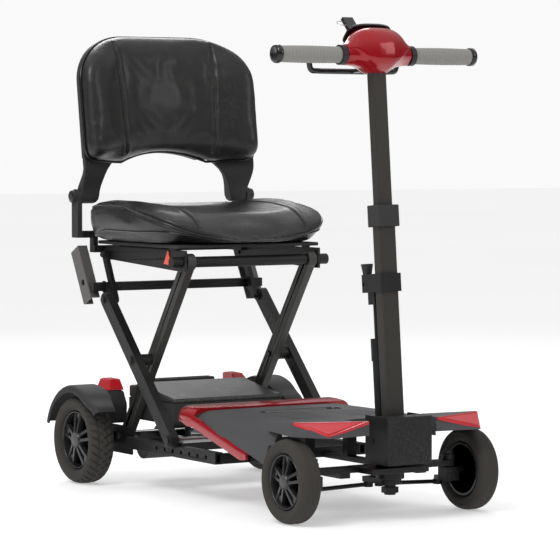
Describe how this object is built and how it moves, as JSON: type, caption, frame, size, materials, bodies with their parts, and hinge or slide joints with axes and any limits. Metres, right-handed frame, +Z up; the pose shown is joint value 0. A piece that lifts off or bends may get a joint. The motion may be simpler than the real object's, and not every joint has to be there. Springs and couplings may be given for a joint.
{
  "type": "mobility scooter",
  "caption": "Four-wheel folding mobility scooter with a scissor-lift seat, folding backrest and a steering tiller of adjustable height.",
  "frame": {"origin": "on the floor, below the middle of the outline", "axes": "+X forward, +Y to the rider's left, +Z up"},
  "size_m": [1.0868, 0.569, 1.043],
  "materials": {
    "black_frame_paint": "satin powder coat",
    "arm_paint": "satin paint over square tube",
    "receiver_paint": "grey metallic satin",
    "bright_steel": "turned steel",
    "deck_plastic": "fine grain moulded plastic",
    "red_gloss": "deep red gloss lacquer",
    "red_lens": "red lens with a fine inner grid",
    "black_plastic": "moulded black plastic",
    "drive_casting": "painted casting",
    "grey_plastic": "grained grey plastic",
    "tyre_rubber": "solid tyre with block tread",
    "rim_black": "satin black moulded rim",
    "tube_paint": "dark brown-black satin paint",
    "bar_black": "black gloss",
    "grip_rubber": "grey ribbed rubber",
    "horn_amber": "amber button",
    "leatherette": "black leatherette with double stitching",
    "reflector_orange": "orange prism reflector"
  },
  "bodies": {
    "base": {"right_rail": "black_frame_paint", "left_rail": "black_frame_paint", "frame_cross_tubes": "black_frame_paint", "frame_spines": "black_frame_paint", "pivot_shaft": "bright_steel", "deck_shell": "deck_plastic", "deck_trim": "red_gloss", "front_cover": "deck_plastic", "front_lenses": "red_lens", "front_axle_beam": "black_frame_paint", "rear_fenders": "black_plastic", "tail_lenses": "red_lens", "transaxle": "drive_casting", "drive_motor": "drive_casting", "battery_tray": "black_frame_paint"},
    "battery": {"battery_case": "black_plastic", "battery_lid": "grey_plastic"},
    "battery_bail": {"battery_handle": "black_plastic"},
    "right_rear_wheel": {"right_rear_tyre": "tyre_rubber", "right_rear_rim": "rim_black"},
    "left_rear_wheel": {"left_rear_tyre": "tyre_rubber", "left_rear_rim": "rim_black"},
    "right_front_wheel": {"right_front_tyre": "tyre_rubber", "right_front_rim": "rim_black"},
    "left_front_wheel": {"left_front_tyre": "tyre_rubber", "left_front_rim": "rim_black"},
    "right_steer": {"right_knuckle": "black_frame_paint"},
    "left_steer": {"left_knuckle": "black_frame_paint"},
    "steering": {"steering_stem": "black_frame_paint", "tiller_yoke": "black_frame_paint"},
    "right_rod": {"right_tie_rod": "black_frame_paint"},
    "left_rod": {"left_tie_rod": "black_frame_paint"},
    "lower_tiller": {"lower_tube": "tube_paint", "tube_collar": "black_plastic", "gas_strut": "black_frame_paint"},
    "release_lever": {"fold_lever": "black_plastic"},
    "upper_tiller": {"upper_tube": "tube_paint", "console_shell": "red_gloss", "dash_panel": "black_plastic", "handlebar": "bar_black", "hand_grips": "grip_rubber"},
    "throttle": {"throttle_paddle": "black_plastic"},
    "key": {"ignition_key": "black_plastic"},
    "dial": {"speed_dial": "black_plastic"},
    "horn": {"horn_button": "horn_amber"},
    "inner_scissor": {"inner_arms": "arm_paint"},
    "outer_scissor": {"outer_arms": "arm_paint", "roller_shaft": "bright_steel"},
    "seat": {"seat_side_plates": "black_frame_paint", "seat_cross_tubes": "black_frame_paint", "seat_pan": "black_plastic", "seat_cushion": "leatherette", "side_reflectors": "reflector_orange", "back_hinges": "black_plastic"},
    "backrest": {"back_legs": "black_plastic", "back_shell": "black_plastic", "back_cushion": "leatherette"},
    "seat_links": {"rear_links": "black_frame_paint"},
    "rear_carrier": {"rear_cross_tube": "black_frame_paint", "armrest_receivers": "receiver_paint"}
  },
  "joints": [
    {"name": "battery_removal", "type": "slide", "parent": "base", "child": "battery", "axis": [-1, 0, 0], "range_m": [0, 0.18]},
    {"name": "battery_handle_fold", "type": "hinge", "parent": "battery", "child": "battery_bail", "pos_m": [-0.37657, 0, 0.2285], "axis": [0, 1, 0], "range_deg": [0, 80]},
    {"name": "right_rear_spin", "type": "hinge", "parent": "base", "child": "right_rear_wheel", "pos_m": [-0.41157, -0.2475, 0.1], "axis": [0, 1, 0], "continuous": true},
    {"name": "left_rear_spin", "type": "hinge", "parent": "base", "child": "left_rear_wheel", "pos_m": [-0.41157, 0.2475, 0.1], "axis": [0, 1, 0], "continuous": true},
    {"name": "steer", "type": "hinge", "parent": "base", "child": "steering", "pos_m": [0.47043, 0, 0.1], "axis": [0, 0, 1], "range_deg": [-35, 35]},
    {"name": "right_kingpin", "type": "hinge", "parent": "base", "child": "right_steer", "pos_m": [0.43843, -0.172, 0.1], "axis": [0, 0, 1], "range_deg": [-35, 35]},
    {"name": "left_kingpin", "type": "hinge", "parent": "base", "child": "left_steer", "pos_m": [0.43843, 0.172, 0.1], "axis": [0, 0, 1], "range_deg": [-35, 35]},
    {"name": "right_rod_pivot", "type": "hinge", "parent": "steering", "child": "right_rod", "pos_m": [0.41043, -0.014, 0.066], "axis": [0, 0, 1], "range_deg": [-35, 35]},
    {"name": "left_rod_pivot", "type": "hinge", "parent": "steering", "child": "left_rod", "pos_m": [0.41043, 0.014, 0.066], "axis": [0, 0, 1], "range_deg": [-35, 35]},
    {"name": "right_front_spin", "type": "hinge", "parent": "right_steer", "child": "right_front_wheel", "pos_m": [0.43843, -0.223, 0.0875], "axis": [0, 1, 0], "continuous": true},
    {"name": "left_front_spin", "type": "hinge", "parent": "left_steer", "child": "left_front_wheel", "pos_m": [0.43843, 0.223, 0.0875], "axis": [0, 1, 0], "continuous": true},
    {"name": "tiller_fold", "type": "hinge", "parent": "steering", "child": "lower_tiller", "pos_m": [0.48583, 0, 0.165], "axis": [0, -1, 0], "range_deg": [0, 35]},
    {"name": "release_lever_turn", "type": "hinge", "parent": "lower_tiller", "child": "release_lever", "pos_m": [0.40913, 0, 0.48445], "axis": [0, -1, 0], "range_deg": [0, 20], "stiffness_Nm_per_rad": 0.2},
    {"name": "tiller_height", "type": "slide", "parent": "lower_tiller", "child": "upper_tiller", "axis": [-0.0889, 0, 0.996], "range_m": [-0.16, 0.04]},
    {"name": "throttle_turn", "type": "hinge", "parent": "upper_tiller", "child": "throttle", "pos_m": [0.35545, 0, 0.92843], "axis": [-0.0889, 0, 0.996], "range_deg": [-12, 12], "stiffness_Nm_per_rad": 1.5},
    {"name": "key_turn", "type": "hinge", "parent": "upper_tiller", "child": "key", "pos_m": [0.38069, -0.027, 1.00558], "axis": [-0.7083, 0, 0.7059], "range_deg": [0, 60]},
    {"name": "speed_dial_turn", "type": "hinge", "parent": "upper_tiller", "child": "dial", "pos_m": [0.38069, 0.027, 1.00558], "axis": [-0.7083, 0, 0.7059], "range_deg": [-140, 140]},
    {"name": "horn_press", "type": "slide", "parent": "upper_tiller", "child": "horn", "axis": [0.7083, 0, -0.7059], "range_m": [0, 0.0015], "stiffness_N_per_m": 900},
    {"name": "seat_fold", "type": "hinge", "parent": "base", "child": "inner_scissor", "pos_m": [-0.36957, 0, 0.109], "axis": [0, 1, 0], "range_deg": [0, 33]},
    {"name": "crossing_pivot", "type": "hinge", "parent": "inner_scissor", "child": "outer_scissor", "pos_m": [-0.24287, 0, 0.2913], "axis": [0, 1, 0], "range_deg": [-61.53, 0]},
    {"name": "seat_level", "type": "hinge", "parent": "inner_scissor", "child": "seat", "pos_m": [-0.0865, 0, 0.51629], "axis": [0, 1, 0], "range_deg": [-33.01, 0]},
    {"name": "link_pivot", "type": "hinge", "parent": "seat", "child": "seat_links", "pos_m": [-0.41752, 0, 0.52261], "axis": [0, 1, 0], "range_deg": [0, 84.88]},
    {"name": "carrier_level", "type": "hinge", "parent": "outer_scissor", "child": "rear_carrier", "pos_m": [-0.37012, 0, 0.42141], "axis": [0, 1, 0], "range_deg": [0, 28.53]},
    {"name": "backrest_fold", "type": "hinge", "parent": "seat", "child": "backrest", "pos_m": [-0.47652, 0, 0.65529], "axis": [0, 1, 0], "range_deg": [0, 55]}
  ],
  "couplings": [
    {"joint": "right_kingpin", "follows": "steer", "ratio": 1},
    {"joint": "left_kingpin", "follows": "steer", "ratio": 1},
    {"joint": "right_rod_pivot", "follows": "steer", "ratio": -1},
    {"joint": "left_rod_pivot", "follows": "steer", "ratio": -1},
    {"joint": "crossing_pivot", "follows": "seat_fold", "ratio": -1.8642},
    {"joint": "seat_level", "follows": "seat_fold", "ratio": -1},
    {"joint": "link_pivot", "follows": "seat_fold", "ratio": 2.5719},
    {"joint": "carrier_level", "follows": "seat_fold", "ratio": 0.8642}
  ]
}
